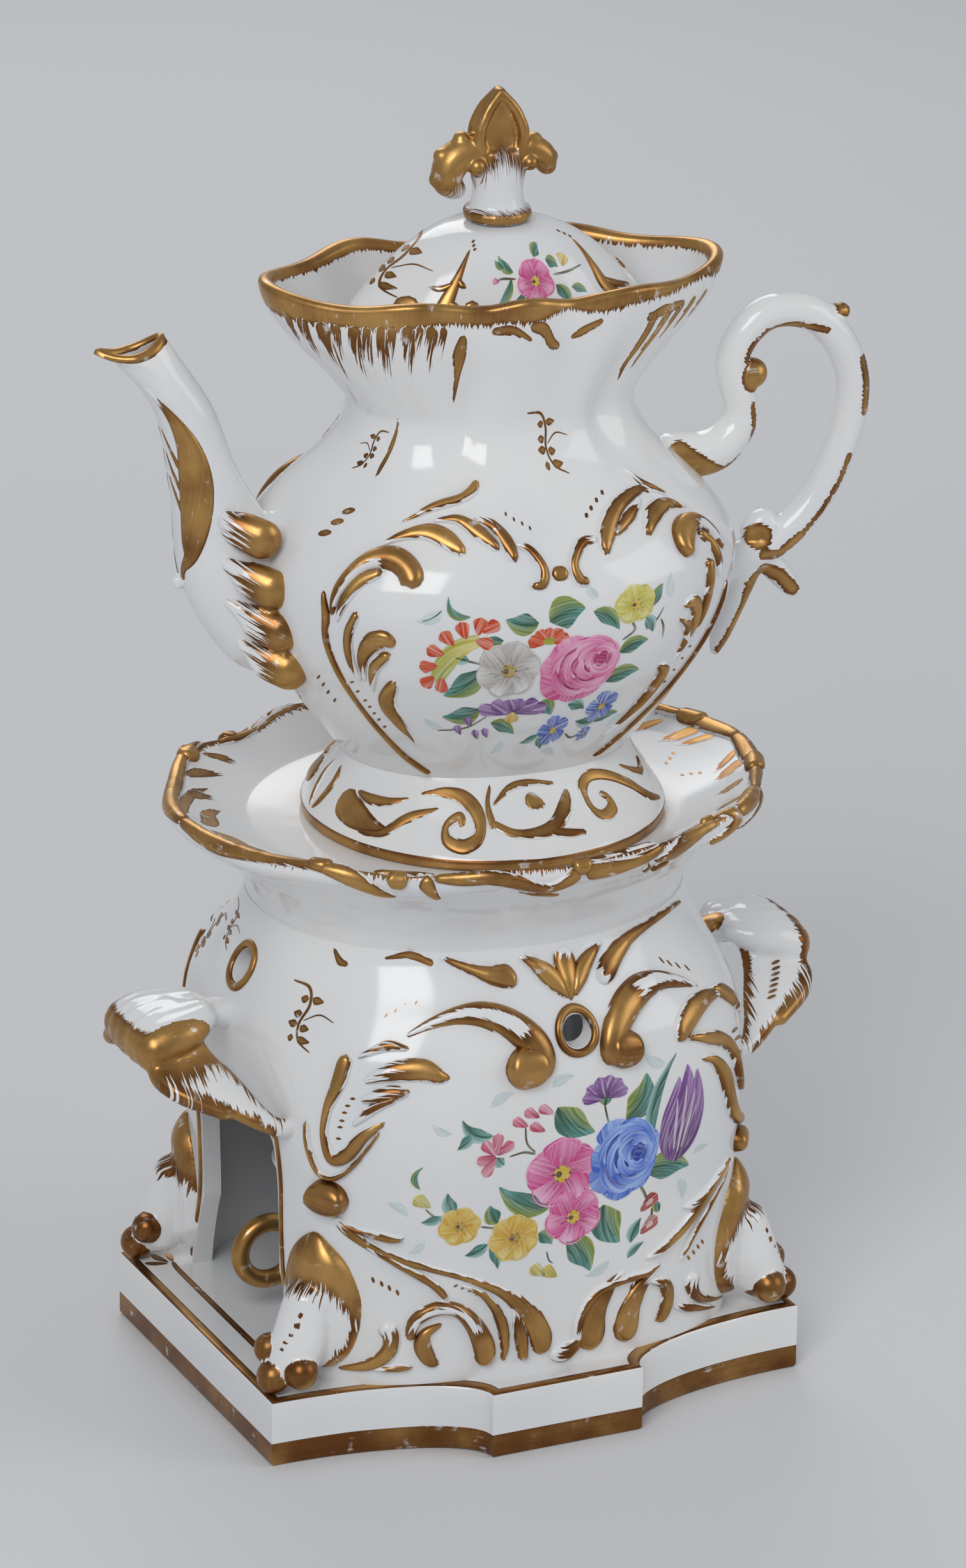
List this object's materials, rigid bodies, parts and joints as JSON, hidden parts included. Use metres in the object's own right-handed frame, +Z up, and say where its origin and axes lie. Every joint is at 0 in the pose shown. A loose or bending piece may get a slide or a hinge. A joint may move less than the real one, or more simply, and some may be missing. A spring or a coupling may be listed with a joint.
{
  "type": "veilleuse tea warmer",
  "caption": "Porcelain tea warmer: a teapot with a domed lid stands on the dish of a hollow stove with scroll feet, hood handles, a door and an oil cup with a floating wick.",
  "frame": {"origin": "middle of the plinth's underside, on the surface the object stands on", "axes": "+Z up, +X along the plinth from the door end to the closed end, +Y from the painted front to the back"},
  "size_m": [0.1968, 0.1304, 0.3334],
  "materials": {
    "porcelain": "glossy white glaze, painted in enamels",
    "gilding": "burnished gilding on glazed porcelain",
    "cork": "cut cork",
    "tin": "dull tinned sheet",
    "cotton": "twisted cotton"
  },
  "bodies": {
    "warmer": {"plinth_tray": "porcelain", "stove_floor": "porcelain", "warmer_body": "porcelain", "warmer_dish": "porcelain", "left_hood_handle": "porcelain", "right_hood_handle": "porcelain", "front_left_foot": "porcelain", "front_right_foot": "porcelain", "rear_left_foot": "porcelain", "rear_right_foot": "porcelain"},
    "teapot": {"teapot_foot": "porcelain", "teapot_body": "porcelain", "teapot_spout": "porcelain", "teapot_handle": "porcelain"},
    "lid": {"lid_dome": "porcelain", "lid_finial": "gilding"},
    "oil_cup": {"oil_cup": "porcelain", "oil_cup_ring": "gilding"},
    "float": {"float_cork": "cork", "float_plate": "tin", "wick_tube": "tin", "wick": "cotton"}
  },
  "joints": [
    {"name": "teapot_lift", "type": "slide", "parent": "warmer", "child": "teapot", "axis": [0, 0, 1], "range_m": [0, 0.06]},
    {"name": "lid_lift", "type": "slide", "parent": "teapot", "child": "lid", "axis": [0, 0, 1], "range_m": [0, 0.05]},
    {"name": "cup_draw", "type": "slide", "parent": "warmer", "child": "oil_cup", "axis": [-1, 0, 0], "range_m": [-0.03, 0.085]},
    {"name": "float_lift", "type": "slide", "parent": "oil_cup", "child": "float", "axis": [0, 0, 1], "range_m": [0, 0.012]}
  ]
}
